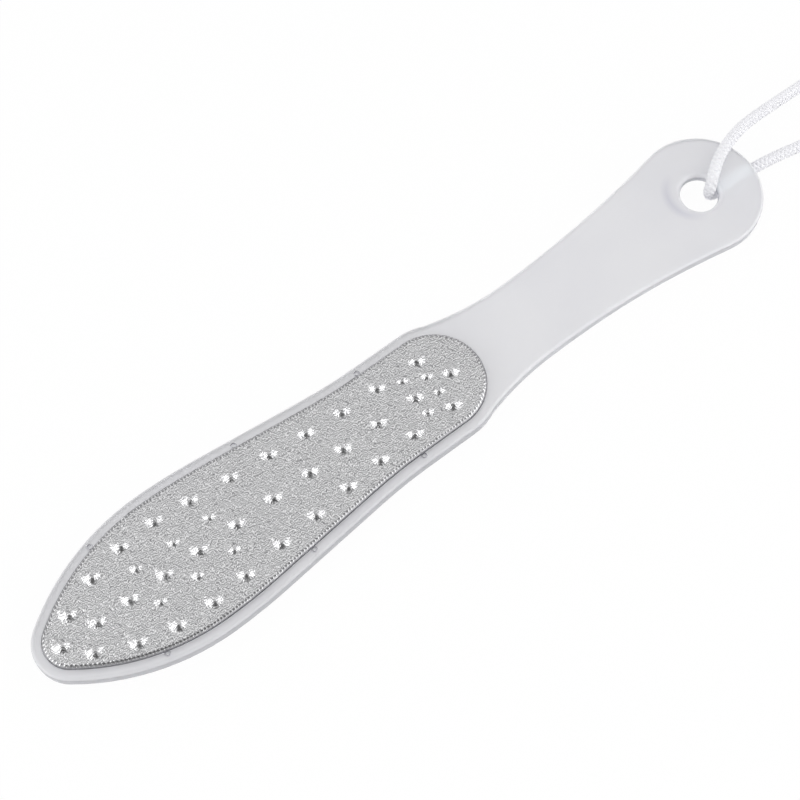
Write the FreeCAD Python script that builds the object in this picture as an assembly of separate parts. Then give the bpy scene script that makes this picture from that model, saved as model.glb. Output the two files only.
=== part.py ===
"""Two-sided foot file: a frosted plastic paddle and handle in one moulding,
a domed coarse steel plate on the front, a flat fine steel plate on the back,
and a braided hanging loop through the hole in the handle's end.

Millimetres, +Z up. The toe of the paddle points to -X and the handle to +X.
The file lies on its fine plate, so z = 0 is the outer face of that plate.
"""
import FreeCAD, Part
import math
import os

from FreeCAD import Vector

# Paddle seen from above, measured from the tip of the toe
overall_length = 260.0
toe_radius = 11.3
belly_from_toe = 49.5
belly_width = 48.5
waist_from_toe = 121.7
waist_width = 37.0
heel_from_toe = 157.4
# Radii behind the belly and in the waist, as shares of the largest sum that fits between them
belly_rear_share = 0.385
waist_hollow_share = 0.365

# Handle seen from above
neck_from_toe = 173.4
neck_width = 26.1
end_radius = 19.5
root_overlap = 6.0
root_margin = 0.25

# Moulding seen from the side
paddle_thickness = 5.4
handle_thickness = 4.4
handle_rise = 1.65
rise_length = 58.0
edge_radius = 1.2
hang_hole_diameter = 11.7
hang_hole_rounding = 2.0

# Seats that hold the two plates
rim_width = 3.0
seat_clearance = 0.2
seat_side_clearance = 0.5
heel_setback = 0.8
groove_depth = 1.2
stake_from_toe = (30.3, 80.1, 121.8)
stake_diameter = 0.9
stake_height = 0.7
stake_pocket_diameter = 1.9
stake_pocket_depth = 0.8
stake_inset = 2.4

# Steel plates, the same tray of thin sheet on both faces
plate_thickness = 0.4
plate_bend_radius = 1.0
plate_proud = 1.2
flange_bottom_clearance = 0.2
film_thickness = 0.2
film_margin = 0.8

# Pressed domes of the coarse plate
large_dome_diameter = 6.8
large_dome_height = 1.15
small_dome_diameter = 4.8
small_dome_height = 0.8
# Places of the domes along the axis, as shares of the paddle's length from the toe
middle_row_shares = (0.914, 0.831, 0.747, 0.665, 0.590, 0.509, 0.428, 0.347, 0.273, 0.198, 0.1285, 0.0545)
# Pairs on both sides of the axis: share of the paddle's length, half spacing as a share of half the belly
outer_pair_shares = (
    (0.877, 0.361), (0.786, 0.372), (0.706, 0.382), (0.629, 0.422), (0.551, 0.471), (0.470, 0.516),
    (0.386, 0.571), (0.313, 0.609), (0.238, 0.588), (0.165, 0.481), (0.095, 0.270),
)
small_pair_shares = ((0.873, 0.120), (0.831, 0.253), (0.395, 0.248), (0.317, 0.247), (0.237, 0.249))

# Hanging loop
cord_diameter = 3.6
knot_length = 8.6
knot_diameter = 8.2
knot_from_hole = (99.4, 2.4, 4.2)
tail_diameter = 3.4
tail_bend_radius = 34.0
tail_length = 13.0
tail_spread_angle = 17.0
# Route of the cord from the knot over the end of the handle, down through the hole
# and back under the end: x and y from the hole's axis, z from the table
cord_route = (
    (97.0, 3.6, 3.6),
    (88.0, 7.4, 2.1),
    (77.0, 10.1, 1.9),
    (65.0, 11.4, 1.9),
    (53.4, 11.5, 2.5),
    (44.1, 11.1, 4.1),
    (34.5, 10.5, 6.6),
    (25.5, 9.5, 9.0),
    (17.0, 7.3, 10.3),
    (10.0, 4.2, 10.2),
    (3.8, -0.4, 10.2),
    (3.8, -0.8, 1.9),
    (12.8, -1.05, 1.9),
    (21.5, -1.4, 1.9),
    (30.0, -2.6, 1.95),
    (39.0, -4.5, 1.9),
    (49.5, -6.6, 1.95),
    (60.0, -7.7, 1.9),
    (71.0, -7.3, 1.95),
    (81.0, -4.8, 1.9),
    (89.0, -1.5, 2.2),
    (97.0, 1.2, 3.6),
)
# Part of the shorter run that each bend of the cord uses up
cord_bend_share = 0.45

# How far a cutting shape runs past what it cuts
overrun = 5.0

# Levels and places worked out from the sizes above
toe_x = -overall_length / 2
belly_x = toe_x + belly_from_toe
waist_x = toe_x + waist_from_toe
heel_x = toe_x + heel_from_toe
heel_centre_x = heel_x - waist_width / 2
neck_x = toe_x + neck_from_toe
hole_x = toe_x + overall_length - end_radius
paddle_bottom = plate_proud
paddle_top = paddle_bottom + paddle_thickness
middle_z = paddle_bottom + paddle_thickness / 2
plate_inset = rim_width + seat_clearance
seat_inset = plate_inset + plate_thickness + seat_side_clearance
seat_rise = plate_proud - plate_thickness - film_thickness
flange_depth = groove_depth - flange_bottom_clearance
handle_end_top = paddle_top + handle_rise
handle_end_bottom = handle_end_top - handle_thickness


def polar(centre, radius, angle):
    """Point on a circle in the XY plane, as an (x, y) pair."""
    return (centre[0] + radius * math.cos(angle), centre[1] + radius * math.sin(angle))


def crossing_tangent_angle(lower, lower_radius, upper, upper_radius):
    """Angle of the normal of the line that runs over a lower circle and under an upper one."""
    across = (upper[0] - lower[0], upper[1] - lower[1])
    distance = math.hypot(across[0], across[1])
    heading = math.atan2(across[1], across[0])
    spread = math.acos((lower_radius + upper_radius) / distance)
    return heading + math.copysign(spread, math.pi / 2 - heading)


def arc_edge(centre, radius, first, last, side):
    """Arc between two angles, mirrored to the other side of the axis when side is -1."""
    points = []
    for angle in (first, (first + last) / 2, last):
        x, y = polar(centre, radius, angle)
        points.append(Vector(x, side * y, 0))
    return Part.Arc(*points).toShape()


def line_edge(start, end, side):
    """Straight edge between two (x, y) pairs, mirrored when side is -1."""
    first = Vector(start[0], side * start[1], 0)
    last = Vector(end[0], side * end[1], 0)
    return Part.LineSegment(first, last).toShape()


def closed_face(edges):
    """Face inside a loop of edges given in any order."""
    return Part.Face(Part.Wire(Part.__sortEdges__(edges)))


def paddle_arcs():
    """Centres, radii and end angles of the arcs on one side of the paddle."""
    half_belly = belly_width / 2
    half_waist = waist_width / 2
    toe = (toe_x + toe_radius, 0)
    run = belly_from_toe - toe_radius
    cheek_radius = (run ** 2 + half_belly ** 2 - toe_radius ** 2) / (2 * (half_belly - toe_radius))
    cheek = (belly_x, half_belly - cheek_radius)
    drop = half_belly - half_waist
    largest_sum = ((waist_x - belly_x) ** 2 + drop ** 2) / (2 * drop)
    rear_radius = belly_rear_share * largest_sum
    hollow_radius = waist_hollow_share * largest_sum
    belly = (belly_x, half_belly - rear_radius)
    waist = (waist_x, half_waist + hollow_radius)
    toe_angle = math.atan2(toe[1] - cheek[1], toe[0] - cheek[0])
    taper = crossing_tangent_angle(belly, rear_radius, waist, hollow_radius)
    return toe, cheek, cheek_radius, belly, rear_radius, waist, hollow_radius, toe_angle, taper


def paddle_outline(inset, setback):
    """Outline of the paddle, drawn in from its edge by an inset and shorter at the heel by a setback."""
    toe, cheek, cheek_radius, belly, rear_radius, waist, hollow_radius, toe_angle, taper = paddle_arcs()
    half_waist = waist_width / 2 - inset
    rear = rear_radius - inset
    hollow = hollow_radius + inset
    heel = (heel_centre_x - setback, 0)
    edges = []
    for side in (1, -1):
        edges.append(arc_edge(toe, toe_radius - inset, math.pi, toe_angle, side))
        edges.append(arc_edge(cheek, cheek_radius - inset, toe_angle, math.pi / 2, side))
        edges.append(arc_edge(belly, rear, math.pi / 2, taper, side))
        edges.append(line_edge(polar(belly, rear, taper), polar(waist, -hollow, taper), side))
        edges.append(arc_edge(waist, -hollow, taper, math.pi / 2, side))
        edges.append(line_edge((waist_x, half_waist), (heel[0], half_waist), side))
        edges.append(arc_edge(heel, half_waist, math.pi / 2, 0, side))
    return closed_face(edges)


def paddle_edge_point(from_toe, inset):
    """Point of the inset outline at a distance from the toe, on the +Y side."""
    toe, cheek, cheek_radius, belly, rear_radius, waist, hollow_radius, toe_angle, taper = paddle_arcs()
    x = toe_x + from_toe
    rear = rear_radius - inset
    hollow = hollow_radius + inset
    line_start = polar(belly, rear, taper)
    line_end = polar(waist, -hollow, taper)
    if x < belly_x:
        return (x, cheek[1] + math.sqrt((cheek_radius - inset) ** 2 - (x - cheek[0]) ** 2))
    if x < line_start[0]:
        return (x, belly[1] + math.sqrt(rear ** 2 - (x - belly[0]) ** 2))
    if x < line_end[0]:
        return (x, line_start[1] - (x - line_start[0]) / math.tan(taper))
    if x < waist_x:
        return (x, waist[1] - math.sqrt(hollow ** 2 - (x - waist[0]) ** 2))
    return (x, waist_width / 2 - inset)


def handle_outline():
    """Outline of the handle from its root inside the paddle to its round end."""
    half_neck = neck_width / 2
    root_x = heel_centre_x + root_overlap
    half_root = math.sqrt(waist_width ** 2 / 4 - root_overlap ** 2) - root_margin
    front_run = neck_x - root_x
    front_rise = half_root - half_neck
    front_radius = (front_run ** 2 + front_rise ** 2) / (2 * front_rise)
    front = (neck_x, half_neck + front_radius)
    root_angle = math.acos(front_run / front_radius)
    rear_run = hole_x - neck_x
    rear_radius = (rear_run ** 2 + half_neck ** 2 - end_radius ** 2) / (2 * (end_radius - half_neck))
    rear = (neck_x, half_neck + rear_radius)
    end = (hole_x, 0)
    end_angle = math.atan2(rear[1], -rear_run)
    edges = [line_edge((root_x, half_root), (root_x, -half_root), 1)]
    for side in (1, -1):
        edges.append(arc_edge(front, -front_radius, root_angle, math.pi / 2, side))
        edges.append(arc_edge(rear, -rear_radius, math.pi / 2, end_angle, side))
        edges.append(arc_edge(end, end_radius, end_angle, 0, side))
    return closed_face(edges)


def soft_step(start, finish):
    """Two tangent arcs in the XZ plane that step between two levels and lie level at both ends."""
    run = finish.x - start.x
    rise = finish.z - start.z
    bend = (run ** 2 + rise ** 2) / (4 * rise)
    turn = math.asin(run / 2 / bend) / 2
    part_way = Vector(bend * math.sin(turn), 0, bend * (1 - math.cos(turn)))
    middle = (start + finish) / 2
    return [
        Part.Arc(start, start + part_way, middle).toShape(),
        Part.Arc(middle, finish - part_way, finish).toShape(),
    ]


def rise_edges(level, high):
    """Side view of one face of the handle: flat with the paddle, a soft S and flat at the end."""
    far_left = Vector(toe_x, 0, level)
    foot = Vector(heel_x, 0, level)
    head = Vector(heel_x + rise_length, 0, high)
    far_right = Vector(-toe_x + overrun, 0, high)
    edges = [Part.LineSegment(far_left, foot).toShape(), Part.LineSegment(head, far_right).toShape()]
    return edges + soft_step(foot, head), far_left, far_right


def level_edges(shape):
    """Edges of a slab that run round its upper and lower faces."""
    chosen = []
    for edge in shape.Edges:
        tangent = edge.tangentAt((edge.FirstParameter + edge.LastParameter) / 2)
        if abs(tangent.z) < abs(tangent.x) + abs(tangent.y):
            chosen.append(edge)
    return chosen


def slab(face, bottom, top):
    """Flat face raised to a slab between two levels."""
    shape = face.copy()
    shape.translate(Vector(0, 0, bottom))
    return shape.extrude(Vector(0, 0, top - bottom))


def cylinder(x, y, bottom, top, diameter):
    """Upright cylinder between two levels."""
    return Part.makeCylinder(diameter / 2, top - bottom, Vector(x, y, bottom))


def mirrored(shape):
    """The same shape on the paddle's other face."""
    return shape.mirror(Vector(0, 0, middle_z), Vector(0, 0, 1))


def make_paddle():
    """Paddle as a plain slab with rounded edges."""
    paddle = slab(paddle_outline(0, 0), paddle_bottom, paddle_top)
    return paddle.makeFillet(edge_radius, level_edges(paddle))


def with_plate_seats(body):
    """The moulding with a groove for each plate's flange, the raised seats and the stakes."""
    groove = slab(paddle_outline(rim_width, heel_setback), paddle_top - groove_depth, paddle_top + overrun)
    seat = slab(paddle_outline(seat_inset, heel_setback), paddle_top - groove_depth, paddle_top + seat_rise)
    pocket_floor = paddle_top - stake_pocket_depth
    pockets = []
    stakes = []
    for from_toe in stake_from_toe:
        x, y = paddle_edge_point(from_toe, stake_inset)
        for side_y in (y, -y):
            pockets.append(cylinder(x, side_y, pocket_floor, paddle_top + overrun, stake_pocket_diameter))
            stakes.append(cylinder(x, side_y, pocket_floor, pocket_floor + stake_height, stake_diameter))
    for turned in (lambda shape: shape, mirrored):
        body = body.cut(turned(groove))
        body = body.fuse(turned(seat))
        body = body.cut([turned(pocket) for pocket in pockets])
        body = body.fuse([turned(stake) for stake in stakes])
    return body


def make_handle():
    """Handle as a band that thins and rises towards its end, cut to the outline seen from above."""
    lower, lower_left, lower_right = rise_edges(paddle_bottom, handle_end_bottom)
    upper, upper_left, upper_right = rise_edges(paddle_top, handle_end_top)
    ends = [
        Part.LineSegment(lower_left, upper_left).toShape(),
        Part.LineSegment(lower_right, upper_right).toShape(),
    ]
    half_band = end_radius + overrun
    band = closed_face(lower + upper + ends)
    band.translate(Vector(0, -half_band, 0))
    band = band.extrude(Vector(0, 2 * half_band, 0))
    plan = slab(handle_outline(), paddle_bottom - overrun, handle_end_top + overrun)
    handle = plan.common(band).Solids[0]
    root_x = handle.BoundBox.XMin
    outer = [edge for edge in level_edges(handle) if edge.BoundBox.XMax > root_x + edge_radius]
    handle = handle.makeFillet(edge_radius, outer)
    hole = cylinder(hole_x, 0, handle_end_bottom - overrun, handle_end_top + overrun, hang_hole_diameter)
    handle = handle.cut(hole)
    mouths = []
    for edge in level_edges(handle):
        box = edge.BoundBox
        if abs(box.Center.x - hole_x) < hang_hole_rounding and box.XLength < end_radius:
            mouths.append(edge)
    return handle.makeFillet(hang_hole_rounding, mouths)


def make_body():
    """The whole frosted moulding."""
    body = with_plate_seats(make_paddle().fuse(make_handle()))
    return body.removeSplitter().Solids[0]


def plate_outline(inset):
    """Outline of a plate, drawn in from its own edge by an inset."""
    return paddle_outline(plate_inset + inset, heel_setback)


def plate_tray():
    """Thin steel tray: a flat face whose edge bends down into the groove."""
    top = paddle_top + plate_proud
    bottom = paddle_top - flange_depth
    tray = slab(plate_outline(0), bottom, top)
    rim = [edge for edge in level_edges(tray) if edge.BoundBox.ZMin > bottom + plate_thickness]
    tray = tray.makeFillet(plate_bend_radius, rim)
    hollow = slab(plate_outline(plate_thickness), bottom - overrun, top - plate_thickness)
    rim = [edge for edge in level_edges(hollow) if edge.BoundBox.ZMin > bottom]
    hollow = hollow.makeFillet(plate_bend_radius - plate_thickness, rim)
    return tray.cut(hollow)


def dome_bump(x, y, level, depth, diameter, height):
    """Solid under a pressed bump that runs softly out to its level, carried down by a depth."""
    crown = Vector(0, 0, level + height)
    foot = Vector(diameter / 2, 0, level)
    corner = Vector(diameter / 2, 0, level - depth)
    middle = Vector(0, 0, level - depth)
    edges = soft_step(crown, foot)
    for start, end in ((foot, corner), (corner, middle), (middle, crown)):
        edges.append(Part.LineSegment(start, end).toShape())
    bump = closed_face(edges).revolve(Vector(0, 0, 0), Vector(0, 0, 1), math.degrees(2 * math.pi))
    bump.translate(Vector(x, y, 0))
    return bump


def dome_places():
    """Places and kinds of all domes: (x, y, diameter, height)."""
    places = []
    half_belly = belly_width / 2
    for along in middle_row_shares:
        places.append((toe_x + along * heel_from_toe, 0, large_dome_diameter, large_dome_height))
    kinds = (
        (outer_pair_shares, large_dome_diameter, large_dome_height),
        (small_pair_shares, small_dome_diameter, small_dome_height),
    )
    for pairs, diameter, height in kinds:
        for along, across in pairs:
            for side in (1, -1):
                places.append((toe_x + along * heel_from_toe, side * across * half_belly, diameter, height))
    return places


def make_coarse_plate():
    """Front plate with its pressed domes, hollow from behind as pressed sheet is."""
    face = paddle_top + plate_proud
    caps = []
    dents = []
    for x, y, diameter, height in dome_places():
        caps.append(dome_bump(x, y, face, plate_thickness / 2, diameter, height))
        dents.append(dome_bump(x, y, face - plate_thickness, plate_thickness, diameter, height))
    plate = plate_tray().fuse(caps)
    return plate.cut(dents).removeSplitter().Solids[0]


def make_film():
    """Adhesive film between a seat and its plate."""
    bottom = paddle_top + seat_rise
    return slab(paddle_outline(seat_inset + film_margin, heel_setback), bottom, bottom + film_thickness)


def cord_wire(points):
    """Straight runs joined by tangent arcs, and the radius of each bend."""
    edges = []
    radii = []
    start = points[0]
    for before, corner, after in zip(points, points[1:], points[2:]):
        run_in = corner - before
        run_out = after - corner
        turn = run_in.getAngle(run_out)
        setback = cord_bend_share * min(run_in.Length, run_out.Length)
        radius = setback / math.tan(turn / 2)
        bisector = (run_out.normalize() - run_in.normalize()).normalize()
        arc_start = corner - run_in * setback
        arc_end = corner + run_out * setback
        arc_middle = corner + bisector * (radius / math.cos(turn / 2) - radius)
        edges.append(Part.LineSegment(start, arc_start).toShape())
        edges.append(Part.Arc(arc_start, arc_middle, arc_end).toShape())
        radii.append(radius)
        start = arc_end
    edges.append(Part.LineSegment(start, points[-1]).toShape())
    return Part.Wire(edges), radii


def tube(wire, diameter):
    """Round solid of one diameter along a wire."""
    edge = wire.Edges[0]
    start = edge.valueAt(edge.FirstParameter)
    heading = edge.tangentAt(edge.FirstParameter)
    section = Part.Wire(Part.makeCircle(diameter / 2, start, heading))
    return wire.makePipeShell([section], True, False)


def make_cord():
    """Braided cord of the hanging loop, as one round tube."""
    points = [Vector(hole_x + x, y, z) for x, y, z in cord_route]
    wire, radii = cord_wire(points)
    cord = tube(wire, cord_diameter)
    plain_volume = math.pi * cord_diameter ** 2 / 4 * wire.Length
    print("cord length", round(wire.Length, 1), "bend radii", [round(radius, 1) for radius in radii])
    print("cord volume over section times length", round(cord.Volume / plain_volume, 4))
    return cord


def make_knot():
    """Overhand knot that closes the loop, a plump round form with two short tails."""
    centre = Vector(hole_x + knot_from_hole[0], knot_from_hole[1], knot_from_hole[2])
    half = knot_length / 2
    belly = knot_diameter / 2
    bulge = Part.Arc(Vector(-half, 0, 0), Vector(0, 0, belly), Vector(half, 0, 0)).toShape()
    axis = Part.LineSegment(Vector(-half, 0, 0), Vector(half, 0, 0)).toShape()
    profile = Part.Face(Part.Wire([bulge, axis]))
    knot = profile.revolve(Vector(0, 0, 0), Vector(1, 0, 0), math.degrees(2 * math.pi))
    knot.translate(centre)
    for side in (1, -1):
        knot = knot.fuse(make_tail(centre, side))
    return knot.removeSplitter().Solids[0]


def make_tail(centre, side):
    """Short cut end of the cord that leaves the knot and droops to the table."""
    spread = math.radians(tail_spread_angle)
    turn = tail_length / tail_bend_radius
    points = []
    for part in (0, turn / 2, turn):
        along = tail_bend_radius * math.sin(part)
        drop = tail_bend_radius * (1 - math.cos(part))
        points.append(centre + Vector(along * math.cos(spread), side * along * math.sin(spread), -drop))
    return tube(Part.Wire([Part.Arc(*points).toShape()]), tail_diameter)


def main():
    """Build every piece and write one file for each."""
    os.makedirs("parts", exist_ok=True)
    pieces = {
        "frosted_body": make_body(),
        "coarse_plate": make_coarse_plate(),
        "coarse_plate_film": make_film(),
        "fine_plate": mirrored(plate_tray()),
        "fine_plate_film": mirrored(make_film()),
        "hang_cord": make_cord(),
        "cord_knot": make_knot(),
    }
    for name, shape in pieces.items():
        shape.exportStep(os.path.join("parts", name + ".step"))
        box = shape.BoundBox
        print(name, len(shape.Solids), shape.isValid(), round(shape.Volume, 1), "mm3",
              [round(v, 2) for v in (box.XMin, box.YMin, box.ZMin, box.XMax, box.YMax, box.ZMax)])


main()
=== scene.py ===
import math

import bmesh
import bpy
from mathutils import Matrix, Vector, noise
from mathutils.bvhtree import BVHTree


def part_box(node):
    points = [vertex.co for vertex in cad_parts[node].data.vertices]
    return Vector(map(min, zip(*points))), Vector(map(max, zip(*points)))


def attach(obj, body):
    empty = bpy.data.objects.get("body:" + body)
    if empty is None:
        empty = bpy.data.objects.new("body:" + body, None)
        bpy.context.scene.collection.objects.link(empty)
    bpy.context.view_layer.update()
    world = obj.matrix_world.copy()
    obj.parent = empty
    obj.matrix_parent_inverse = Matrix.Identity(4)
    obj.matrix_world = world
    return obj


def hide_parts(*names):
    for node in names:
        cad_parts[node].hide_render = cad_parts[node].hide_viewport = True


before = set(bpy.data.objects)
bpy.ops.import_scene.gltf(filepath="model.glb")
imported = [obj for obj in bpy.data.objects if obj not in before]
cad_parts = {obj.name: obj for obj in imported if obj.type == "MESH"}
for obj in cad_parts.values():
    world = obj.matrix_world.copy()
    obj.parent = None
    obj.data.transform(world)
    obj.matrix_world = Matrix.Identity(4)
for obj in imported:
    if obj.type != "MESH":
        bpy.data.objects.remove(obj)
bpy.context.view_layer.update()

MM = 0.001

# Camera at the photograph's angle, in metres
CAMERA_PLACE = (-0.123191, -0.154961, 0.485274)
CAMERA_TARGET = (-0.002515, 0.002677, 0.004)
CAMERA_LENS = 80.1
CAMERA_SENSOR = 36

# Places in millimetres, in the CAD frame
HOLE_X = 110.5
END_FACE = 8.25
PLATE_FACE = 7.8
BACK_FACE = 0.0

# Route of the hanging loop in millimetres: x and y from the hole's axis, z from the table
CORD_DIAMETER = 3.6
CORD_STEP = 0.2
CORD_ROUTE = (
    (97.0, 3.6, 3.6),
    (88.0, 7.4, 2.1),
    (77.0, 10.1, 1.9),
    (65.0, 11.4, 1.9),
    (53.4, 11.5, 2.5),
    (44.1, 11.1, 4.1),
    (34.5, 10.5, 6.6),
    (25.5, 9.5, 9.0),
    (17.0, 7.3, 10.3),
    (10.0, 4.2, 10.2),
    (3.8, -0.4, 10.2),
    (3.8, -0.8, 1.9),
    (12.8, -1.05, 1.9),
    (21.5, -1.4, 1.9),
    (30.0, -2.6, 1.95),
    (39.0, -4.5, 1.9),
    (49.5, -6.6, 1.95),
    (60.0, -7.7, 1.9),
    (71.0, -7.3, 1.95),
    (81.0, -4.8, 1.9),
    (89.0, -1.5, 2.2),
    (97.0, 1.2, 3.6),
)
# The overhand knot, pulled tighter than the loop: one strand makes the turn, the other goes through it.
# The knot's centre is given like the route, and the strands from that centre.
KNOT_CORD_DIAMETER = 2.8
KNOT_STEP = 0.26
KNOT_CENTRE = (99.4, 2.4, 4.2)
KNOT_TURN = (
    (-4.4, 1.5, -0.9), (-2.6, 1.6, 0.3), (-0.6, 1.4, 1.9), (1.6, 0.6, 2.7), (1.9, -1.9, 2.1),
    (1.2, -2.8, -0.2), (0.6, -1.9, -2.2), (0.0, 0.6, -2.7), (-0.6, 2.5, -1.3), (-1.2, 2.6, 1.0),
    (-1.8, 0.9, 2.6), (-2.2, -1.4, 2.2), (-1.6, -2.0, 0.4), (0.4, -0.9, -0.6), (3.2, 0.9, -0.4),
    (6.2, 1.9, -0.7), (9.4, 2.9, -1.5), (12.2, 3.7, -2.4),
)
KNOT_CORE = (
    (-4.4, -1.3, -0.9), (-2.4, -0.8, -0.5), (0.0, 0.2, 0.5), (3.0, -0.8, 0.2), (6.2, -1.9, -0.6),
    (9.4, -2.9, -1.5), (12.2, -3.7, -2.4),
)

# The braid: yarns each way, and sizes as shares of the cord's diameter
YARNS = 4
YARN_LEAD_SHARE = 1.67
YARN_RING_SHARE = 0.34
YARN_WAVE_SHARE = 0.04
YARN_RADIUS_SHARE = 0.16
# Radius of the braid's core, in yarn radii
CORE_YARNS = 2.6
# Width of a sealed tail's tip as a share of the cord's, and the share it gains at each step from there
TIP_SHARE = 0.45
TIP_GAIN = 0.06

# Etched relief on a plate, in millimetres; a drop is measured from the plate's flat face
RELIEF_BASE = 0.03
RELIEF_LAST_DROP = 0.75
BEND_FIRST_DROP = 0.002
STUD_PITCH = 1.05
STUD_BASE = 0.04
STUD_HEIGHT = 0.15
STUD_FADE_DROP = 0.6
DIVE_DEPTH = 0.1
SKIRT_DEPTH = 0.32
PROBE_HEIGHT = 100
# Direction across the short rows of teeth, skew to the file
ROW_ACROSS = (0.6, 0.8)
# Irregularity of the rows: sizes in pitches, shifts in rows or dashes, and a seed for each noise
DASH_LENGTH = 2.1
SWAY_SIZE, SWAY_SHIFT, SWAY_SEED = 2.2, 0.5, 3.7
CROOK_SIZE, CROOK_SHIFT, CROOK_SEED = 1.4, 0.7, 6.4
TOOTH_STEEPNESS = 2.2

# Studio: the pale tent's brightness, the way to the dark gap where the camera stands, and the lamps
TENT = 0.83
TENT_GAP = 0.04
GAP_HEADING = (-0.316, -0.577, 0.753)
# Cosines of the angle from that way at which the gap begins and is fully dark
GAP_EDGE = (0.84, 0.97)
FLOOR_HALF_SIDE = 3.0
FLOOR_LEVEL = -0.0002
LAMPS = (
    ("left_bank", (-0.772, 0.176, 0.6), (0.95, 0.95), 3.2),
    ("right_bank", (0.66, -0.5, 0.52), (0.95, 0.95), 3.2),
    ("front_strip", (0.22, -0.95, 0.3), (1.3, 0.2), 1.0),
)


def linear(hex_colour):
    """Linear colour of an sRGB hex value."""
    values = []
    for start in (1, 3, 5):
        share = int(hex_colour[start:start + 2], 16) / 255
        values.append(share / 12.92 if share <= 0.04045 else ((share + 0.055) / 1.055) ** 2.4)
    return (*values, 1.0)


def add(tree, kind, inputs=None, **settings):
    """Adds a node with its settings; an input is a value or the socket that feeds it."""
    node = tree.nodes.new(kind)
    for name, value in settings.items():
        setattr(node, name, value)
    for name, value in (inputs or {}).items():
        if isinstance(value, bpy.types.NodeSocket):
            tree.links.new(value, node.inputs[name])
        else:
            node.inputs[name].default_value = value
    return node


def new_material(name):
    """Empty node material, its tree and its Object coordinates."""
    material = bpy.data.materials.new(name)
    material.use_nodes = True
    tree = material.node_tree
    tree.nodes.clear()
    place = add(tree, "ShaderNodeTexCoord").outputs["Object"]
    return material, tree, place


def show(tree, shader):
    """Makes a shader the material's surface."""
    add(tree, "ShaderNodeOutputMaterial", {"Surface": shader})


def calc(tree, operation, *values):
    """Result of one sum on values or sockets."""
    return add(tree, "ShaderNodeMath", dict(enumerate(values)), operation=operation).outputs[0]


def span(tree, value, first, last, low=0.0, high=1.0):
    """Value carried from the span first to last over to the span low to high, and held at its ends."""
    return add(tree, "ShaderNodeMapRange", {
        "Value": value, "From Min": first, "From Max": last, "To Min": low, "To Max": high,
    }).outputs["Result"]


def ramp(tree, factor, low, high, first, last):
    """Colour ramp between two hex colours over a span of the factor."""
    node = add(tree, "ShaderNodeValToRGB", {"Fac": factor})
    node.color_ramp.elements[0].position = first
    node.color_ramp.elements[0].color = linear(low)
    node.color_ramp.elements[1].position = last
    node.color_ramp.elements[1].color = linear(high)
    return node.outputs["Color"]


def tint(tree, factor, colour, other):
    """Colour mixed with a hex colour by a factor."""
    return add(tree, "ShaderNodeMix", {"Factor": factor, "A": colour, "B": linear(other)},
               data_type="RGBA").outputs["Result"]


def mottle(tree, place, size, detail):
    """Noise of a size in millimetres."""
    return add(tree, "ShaderNodeTexNoise", {
        "Vector": place, "Scale": 1 / (size * MM), "Detail": detail,
    }).outputs["Fac"]


def roughen(tree, height, strength):
    """Normal of a surface roughened by a height, 0.02 mm deep."""
    return add(tree, "ShaderNodeBump", {
        "Height": height, "Strength": strength, "Distance": 0.02 * MM,
    }).outputs["Normal"]


def mix(tree, share, first, second):
    """Shader that is the second one by a share and the first one for the rest."""
    return add(tree, "ShaderNodeMixShader", {0: share, 1: first, 2: second}).outputs[0]


def frosted_polypropylene():
    """Polypropylene from a spark-eroded mould: milky, see-through only as a blur, with a wide dull sheen."""
    material, tree, place = new_material("frosted_polypropylene")
    # Slow cloudiness of the moulding, about 25 mm across
    colour = ramp(tree, mottle(tree, place, 25, 2.0), "#e4e4e7", "#e8e8ea", 0.35, 0.65)
    # Painted shade: a soft grey crescent on the neck's side of the hole, standing in for the hole's wall seen
    # through the plastic beside it
    middle = ((HOLE_X - 1) * MM, 1.5 * MM, END_FACE * MM)
    reach = add(tree, "ShaderNodeVectorMath", {0: place, 1: middle}, operation="DISTANCE").outputs["Value"]
    inner = span(tree, reach, 6.4 * MM, 8.5 * MM)
    outer = span(tree, reach, 10.6 * MM, 8.5 * MM)
    ring = calc(tree, "MULTIPLY", inner, outer)
    along = add(tree, "ShaderNodeSeparateXYZ", {"Vector": place}).outputs["X"]
    crescent_shade_side = span(tree, along, (HOLE_X - 3) * MM, (HOLE_X - 9) * MM, high=0.6)
    # Painted shade colour of the crescent
    colour = tint(tree, calc(tree, "MULTIPLY", ring, crescent_shade_side), colour, "#c4c4d0")
    # Painted highlight on the rounded edges, where light gathers, and painted shade on the side walls below
    # them
    normal = add(tree, "ShaderNodeNewGeometry").outputs["Normal"]
    upright = add(tree, "ShaderNodeSeparateXYZ", {"Vector": normal}).outputs["Z"]
    flatness = calc(tree, "ABSOLUTE", upright)
    edge = calc(tree, "MULTIPLY", span(tree, flatness, 0.96, 0.8, high=0.7), span(tree, flatness, 0.4, 0.6))
    colour = tint(tree, edge, colour, "#fafafc")
    # Painted shade: the side walls greyer than the top
    colour = tint(tree, span(tree, flatness, 0.45, 0.2, high=0.8), colour, "#bcbcc3")
    # Erosion grain, 0.4 mm
    grain = mottle(tree, place, 0.4, 3.0)
    plastic = add(tree, "ShaderNodeBsdfPrincipled", {
        "Base Color": colour, "Roughness": span(tree, grain, 0, 1, 0.42, 0.52), "IOR": 1.49,
        "Transmission Weight": 0.5, "Coat Weight": 0.6, "Coat Roughness": 0.12,
        "Normal": roughen(tree, grain, 0.06),
    })
    # Light that falls on the moulding goes on through it, so what lies behind is not in full shade
    shadow_ray = add(tree, "ShaderNodeLightPath").outputs["Is Shadow Ray"]
    clear = add(tree, "ShaderNodeBsdfTransparent", {"Color": linear("#f0f0f4")})
    show(tree, mix(tree, calc(tree, "MULTIPLY", shadow_ray, 0.95), plastic.outputs["BSDF"], clear.outputs[0]))
    return material


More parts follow.
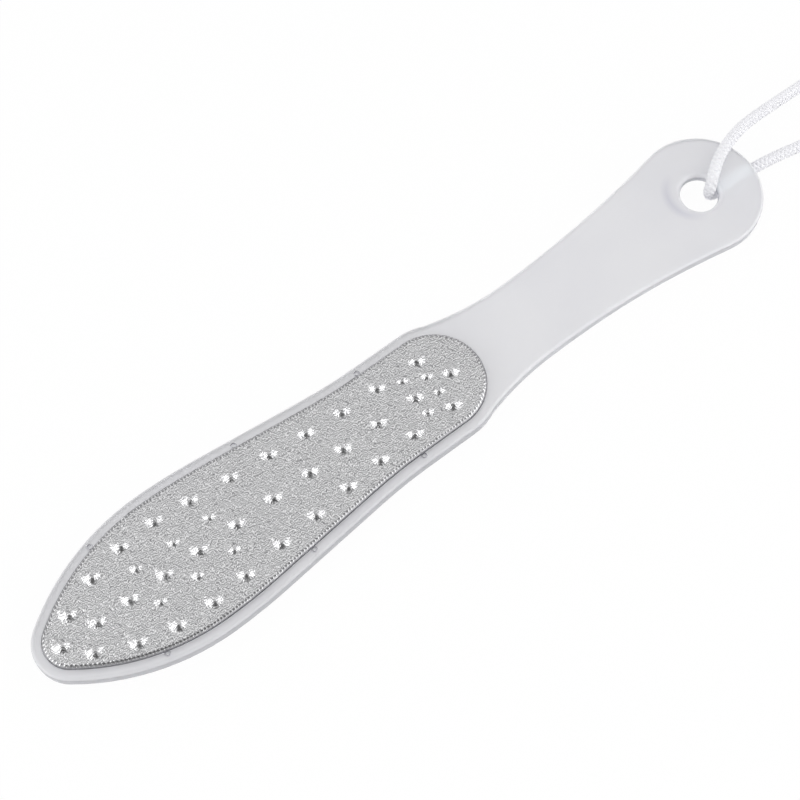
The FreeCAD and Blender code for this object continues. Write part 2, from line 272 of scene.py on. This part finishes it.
def rolled_steel():
    """Thin stainless sheet as rolled and pressed: grey, half-dull, with fine rolling lines along the file."""
    material, tree, place = new_material("rolled_stainless_steel")
    # Rolling lines 0.15 mm apart and 12 mm long
    stretch = (1 / (12 * MM), 1 / (0.15 * MM), 1 / (0.15 * MM))
    stretched = add(tree, "ShaderNodeMapping", {"Vector": place, "Scale": stretch}).outputs["Vector"]
    lines = add(tree, "ShaderNodeTexNoise", {"Vector": stretched, "Scale": 1.0, "Detail": 2.0}).outputs["Fac"]
    steel = add(tree, "ShaderNodeBsdfPrincipled", {
        "Base Color": ramp(tree, lines, "#aeaeb1", "#c2c2c4", 0.3, 0.7), "Metallic": 1.0,
        "Roughness": span(tree, lines, 0, 1, 0.3, 0.42),
    })
    show(tree, steel.outputs["BSDF"])
    return material


def etched_steel(name, pit_shade_colour, crest_glint_colour, grit):
    """Stainless steel etched to a file surface: dull pits and smoother crests, the pits darkened as painted
    shade in the hollows and the crests brightened as a painted glint that sparkles.
    """
    material, tree, place = new_material(name)
    # The tooth height paints the colour: painted shade in the pits, painted glint on the crests
    tooth = add(tree, "ShaderNodeAttribute", attribute_name="tooth_height").outputs["Fac"]
    # Etch grit inside the teeth
    fine = mottle(tree, place, grit, 2.0)
    steel = add(tree, "ShaderNodeBsdfPrincipled", {
        "Base Color": ramp(tree, tooth, pit_shade_colour, crest_glint_colour, 0.1, 0.9), "Metallic": 1.0,
        "Roughness": span(tree, tooth, 0, 1, 0.32, 0.22), "Normal": roughen(tree, fine, 0.3),
    })
    show(tree, steel.outputs["BSDF"])
    return material


def adhesive_film():
    """Acrylic adhesive film: pale, waxy and slightly cloudy, in patches of 3 mm."""
    material, tree, place = new_material("acrylic_adhesive_film")
    colour = ramp(tree, mottle(tree, place, 3, 3.0), "#d9d6ca", "#e6e3d8", 0.3, 0.7)
    film = add(tree, "ShaderNodeBsdfPrincipled", {"Base Color": colour, "Roughness": 0.6, "IOR": 1.47})
    show(tree, film.outputs["BSDF"])
    return material


def polyester_braid():
    """White braided polyester yarn: soft dull white with a faint sheen and fine filaments."""
    material, tree, place = new_material("white_polyester_yarn")
    # Filament bundles 0.25 mm across
    fibre = mottle(tree, place, 0.25, 3.0)
    yarn = add(tree, "ShaderNodeBsdfPrincipled", {
        "Base Color": ramp(tree, fibre, "#ebebef", "#f3f3f6", 0.3, 0.7), "Roughness": 0.75,
        "Sheen Weight": 0.25, "Sheen Roughness": 0.5, "Normal": roughen(tree, fibre, 0.06),
    })
    # Painted light: seen through the frosted end, the cord glows pale as if lit from both sides, instead of
    # lying in shade
    seen_through = add(tree, "ShaderNodeLightPath").outputs["Is Transmission Ray"]
    painted_glow = add(tree, "ShaderNodeEmission", {"Color": linear("#f2fbfd"), "Strength": 1.75})
    show(tree, mix(tree, calc(tree, "MULTIPLY", seen_through, 0.9), yarn.outputs["BSDF"], painted_glow.outputs[0]))
    return material


def white_paper():
    """Paper floor: white to the camera and in reflections, and it still takes the soft shadow."""
    material, tree, _ = new_material("white_paper_floor")
    paper = add(tree, "ShaderNodeBsdfDiffuse", {"Color": linear("#f4f4f4")})
    glow = add(tree, "ShaderNodeEmission", {"Color": (1, 1, 1, 1), "Strength": 1.0})
    ray = add(tree, "ShaderNodeLightPath").outputs
    seen = calc(tree, "MAXIMUM", ray["Is Camera Ray"], ray["Is Transmission Ray"])
    mirrored = calc(tree, "MULTIPLY", ray["Is Glossy Ray"], 0.6)
    share = calc(tree, "MAXIMUM", calc(tree, "MULTIPLY", seen, 0.96), mirrored)
    show(tree, mix(tree, share, paper.outputs[0], glow.outputs[0]))
    return material


def new_object(name, mesh, material):
    """Object at the origin with one material and smooth faces."""
    mesh.materials.clear()
    mesh.materials.append(material)
    for face in mesh.polygons:
        face.use_smooth = True
    piece = bpy.data.objects.new(name, mesh)
    bpy.context.scene.collection.objects.link(piece)
    return piece


def mesh_of_curve(curve):
    """Mesh of a curve, which is then removed."""
    holder = bpy.data.objects.new(curve.name, curve)
    bpy.context.scene.collection.objects.link(holder)
    mesh = bpy.data.meshes.new_from_object(holder)
    bpy.data.objects.remove(holder)
    bpy.data.curves.remove(curve)
    return mesh


def spline_points(route, spacing):
    """Evenly spaced points on the smooth line that a route's points control."""
    curve = bpy.data.curves.new("route", "CURVE")
    curve.dimensions = "3D"
    curve.resolution_u = 40
    spline = curve.splines.new("NURBS")
    spline.points.add(len(route) - 1)
    for point, place in zip(spline.points, route):
        point.co = (*(value * MM for value in place), 1)
    spline.order_u = 3
    spline.use_endpoint_u = True
    mesh = mesh_of_curve(curve)
    raw = [vertex.co.copy() for vertex in mesh.vertices]
    bpy.data.meshes.remove(mesh)
    points = [raw[0]]
    carried = 0.0
    for before, after in zip(raw, raw[1:]):
        run = (after - before).length
        while carried + run >= spacing * MM:
            before = before.lerp(after, (spacing * MM - carried) / run)
            points.append(before)
            run = (after - before).length
            carried = 0.0
        carried += run
    return points


def yarn_lines(points, diameter, sealed_tail):
    """Lines of the yarns of a braid along a path, four each way, and last the line of its core."""
    lead = YARN_LEAD_SHARE * diameter * MM
    ring = YARN_RING_SHARE * diameter * MM
    wave = YARN_WAVE_SHARE * diameter * MM
    across = Vector((0, 0, 1))
    lines = [[] for _ in range(2 * YARNS + 1)]
    travelled = 0.0
    count = len(points)
    for index, point in enumerate(points):
        heading = (points[min(index + 1, count - 1)] - points[max(index - 1, 0)]).normalized()
        across = (across - heading * across.dot(heading)).normalized()
        side = heading.cross(across)
        if index:
            travelled += (point - points[index - 1]).length
        # A sealed tail is pinched together over its last few steps
        pinch = min(1.0, TIP_SHARE + TIP_GAIN * (count - 1 - index)) if sealed_tail else 1.0
        lift = wave * math.cos(2 * YARNS * math.pi * travelled / lead)
        for carrier in range(YARNS):
            for way, line in ((1, lines[carrier]), (-1, lines[carrier + YARNS])):
                angle = 2 * math.pi * (carrier / YARNS + way * travelled / lead)
                radius = (ring + way * lift) * pinch
                line.append(point + across * radius * math.cos(angle) + side * radius * math.sin(angle))
        lines[-1].append(point)
    return lines


def braid(name, paths, diameter, material, sealed_tail=False):
    """Braided cord along one or more paths, as yarns that pass over and under each other round a core."""
    curve = bpy.data.curves.new(name, "CURVE")
    curve.dimensions = "3D"
    curve.bevel_depth = YARN_RADIUS_SHARE * diameter * MM
    curve.bevel_resolution = 2
    curve.use_fill_caps = True
    for points in paths:
        for number, line in enumerate(yarn_lines(points, diameter, sealed_tail)):
            spline = curve.splines.new("POLY")
            spline.points.add(len(line) - 1)
            for point, place in zip(spline.points, line):
                point.co = (*place, 1)
                point.radius = 1.0 if number < 2 * YARNS else CORE_YARNS
    mesh = mesh_of_curve(curve)
    mesh.name = name
    return new_object(name, mesh, material)


def tooth_shape(x, y, pitch):
    """Height from 0 to 1 of the etched teeth at a place in millimetres: short broken rows skew to the file."""
    across = ROW_ACROSS[0] * x + ROW_ACROSS[1] * y
    along = ROW_ACROSS[1] * x - ROW_ACROSS[0] * y
    sway = noise.noise(Vector((x / (SWAY_SIZE * pitch), y / (SWAY_SIZE * pitch), SWAY_SEED)))
    crook = noise.noise(Vector((x / (CROOK_SIZE * pitch), y / (CROOK_SIZE * pitch), CROOK_SEED)))
    row = math.sin(2 * math.pi * (across / pitch + SWAY_SHIFT * sway))
    dash = math.cos(2 * math.pi * (along / (DASH_LENGTH * pitch) + CROOK_SHIFT * crook))
    return 0.5 + 0.5 * max(-1.0, min(1.0, TOOTH_STEEPNESS * row * dash))


def etched_field(name, node, face, side, steps, pitch, height, material):
    """Etched relief on the outer face of a steel plate; it dives into the bent edge in a row of studs."""
    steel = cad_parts[node]
    tree = BVHTree.FromObject(steel, bpy.context.evaluated_depsgraph_get())
    low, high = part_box(node)
    size = [(high[axis] - low[axis]) / MM for axis in (0, 1)]
    form = bmesh.new()
    counts = [round(size[axis] / steps[axis]) for axis in (0, 1)]
    bmesh.ops.create_grid(form, x_segments=counts[0], y_segments=counts[1], size=0.5)
    bmesh.ops.scale(form, verts=form.verts, vec=(size[0] * MM, size[1] * MM, 1))
    bmesh.ops.translate(form, verts=form.verts, vec=((low[0] + high[0]) / 2, (low[1] + high[1]) / 2, 0))
    tooth = form.verts.layers.float.new("tooth_height")
    outside = []
    for vertex in form.verts:
        x, y = vertex.co.x / MM, vertex.co.y / MM
        above = (vertex.co.x, vertex.co.y, side * PROBE_HEIGHT * MM)
        place, normal, _, _ = tree.ray_cast(above, (0, 0, -side))
        if place is None or side * (face - place.z / MM) > RELIEF_LAST_DROP:
            outside.append(vertex)
            continue
        drop = side * (face - place.z / MM)
        shape = tooth_shape(x, y, pitch)
        rise = RELIEF_BASE + height * shape
        if drop > BEND_FIRST_DROP:
            along = x if abs(normal.y) > abs(normal.x) else y
            shape = max(0.0, math.cos(2 * math.pi * along / STUD_PITCH)) ** 2
            fade = min(1.0, drop / STUD_FADE_DROP)
            rise = (STUD_BASE + STUD_HEIGHT * shape) * (1 - fade) - DIVE_DEPTH * fade
        vertex.co.z = place.z + side * rise * MM
        # The tooth height also sets the colour: crests and studs get a painted glint, pits a painted shade
        vertex[tooth] = shape
    bmesh.ops.delete(form, geom=outside, context="VERTS")
    loose = [vertex for vertex in form.verts if not vertex.link_faces]
    bmesh.ops.delete(form, geom=loose, context="VERTS")
    # A skirt inside the sheet and a bottom close the relief
    rim = [edge for edge in form.edges if edge.is_boundary]
    skirt = bmesh.ops.extrude_edge_only(form, edges=rim)["geom"]
    for part in skirt:
        if isinstance(part, bmesh.types.BMVert):
            part.co.z = (face - side * SKIRT_DEPTH) * MM
    bmesh.ops.holes_fill(form, edges=[edge for edge in form.edges if edge.is_boundary], sides=0)
    bmesh.ops.recalc_face_normals(form, faces=form.faces)
    mesh = bpy.data.meshes.new(name)
    form.to_mesh(mesh)
    form.free()
    piece = new_object(name, mesh, material)
    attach(piece, "file")
    return piece


def dress_node(node, material):
    """Gives a CAD node its material."""
    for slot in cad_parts[node].material_slots:
        slot.material = material


def softbox(name, place, size, power):
    """Flat lamp that faces the file."""
    lamp = bpy.data.lights.new(name, "AREA")
    lamp.shape = "RECTANGLE"
    lamp.size, lamp.size_y = size
    lamp.energy = power
    holder = bpy.data.objects.new(name, lamp)
    bpy.context.scene.collection.objects.link(holder)
    holder.location = place
    holder.rotation_euler = (-Vector(place)).to_track_quat("-Z", "Y").to_euler()


# Camera
lens = bpy.data.cameras.new("camera")
lens.lens = CAMERA_LENS
lens.sensor_width = CAMERA_SENSOR
camera = bpy.data.objects.new("camera", lens)
bpy.context.scene.collection.objects.link(camera)
camera.location = CAMERA_PLACE
camera.rotation_euler = (Vector(CAMERA_TARGET) - camera.location).to_track_quat("-Z", "Y").to_euler()
bpy.context.scene.camera = camera

# The hanging loop and its knot
yarn = polyester_braid()
loop_points = spline_points([(HOLE_X + x, y, z) for x, y, z in CORD_ROUTE], CORD_STEP)
loop = braid("loop_braid", [loop_points], CORD_DIAMETER, yarn)
knot_paths = []
for strand in (KNOT_TURN, KNOT_CORE):
    places = [(HOLE_X + KNOT_CENTRE[0] + x, KNOT_CENTRE[1] + y, KNOT_CENTRE[2] + z) for x, y, z in strand]
    knot_paths.append(spline_points(places, KNOT_STEP))
knot = braid("loop_knot", knot_paths, KNOT_CORD_DIAMETER, yarn, sealed_tail=True)
for piece, node in ((loop, "hang_cord"), (knot, "cord_knot")):
    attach(piece, "hanging_loop")
    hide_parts(node)

# The moulding, the plates and their etched faces
dress_node("frosted_body", frosted_polypropylene())
steel_sheet = rolled_steel()
dress_node("coarse_plate", steel_sheet)
dress_node("fine_plate", steel_sheet)
film = adhesive_film()
dress_node("coarse_plate_film", film)
dress_node("fine_plate_film", film)
# Pit and crest colours of both etches: painted shade in the pits, painted glint on the crests
coarse_etch = etched_steel("coarse_etched_stainless_steel", "#8e8e90", "#f8f8f9", 0.2)
coarse_field = etched_field("coarse_teeth", "coarse_plate", PLATE_FACE, side=1, steps=(0.24, 0.24),
                            pitch=0.62, height=0.16, material=coarse_etch)
fine_etch = etched_steel("fine_etched_stainless_steel", "#9c9c9f", "#e0e0e2", 0.15)
fine_field = etched_field("fine_teeth", "fine_plate", BACK_FACE, side=-1, steps=(0.27, 0.27),
                          pitch=0.6, height=0.02, material=fine_etch)

# Floor
form = bmesh.new()
bmesh.ops.create_grid(form, x_segments=4, y_segments=4, size=FLOOR_HALF_SIDE)
bmesh.ops.translate(form, verts=form.verts, vec=(0, 0, FLOOR_LEVEL))
floor_mesh = bpy.data.meshes.new("floor")
form.to_mesh(floor_mesh)
form.free()
floor = new_object("floor", floor_mesh, white_paper())

# Soft studio light: an even pale tent with a dark gap, white to the camera, and the lamps
world = bpy.data.worlds.new("studio")
bpy.context.scene.world = world
world.use_nodes = True
tree = world.node_tree
tree.nodes.clear()
heading = add(tree, "ShaderNodeTexCoord").outputs["Generated"]
toward = add(tree, "ShaderNodeVectorMath", {0: heading, 1: GAP_HEADING}, operation="DOT_PRODUCT")
tent = span(tree, toward.outputs["Value"], *GAP_EDGE, TENT, TENT_GAP)
looked_at = add(tree, "ShaderNodeLightPath").outputs["Is Camera Ray"]
level = calc(tree, "MAXIMUM", tent, looked_at)
sky = add(tree, "ShaderNodeBackground", {"Color": (1, 1, 1, 1), "Strength": level})
add(tree, "ShaderNodeOutputWorld", {"Surface": sky.outputs[0]})
for name, place, size, power in LAMPS:
    softbox(name, place, size, power)

bpy.context.scene.view_settings.view_transform = "Standard"
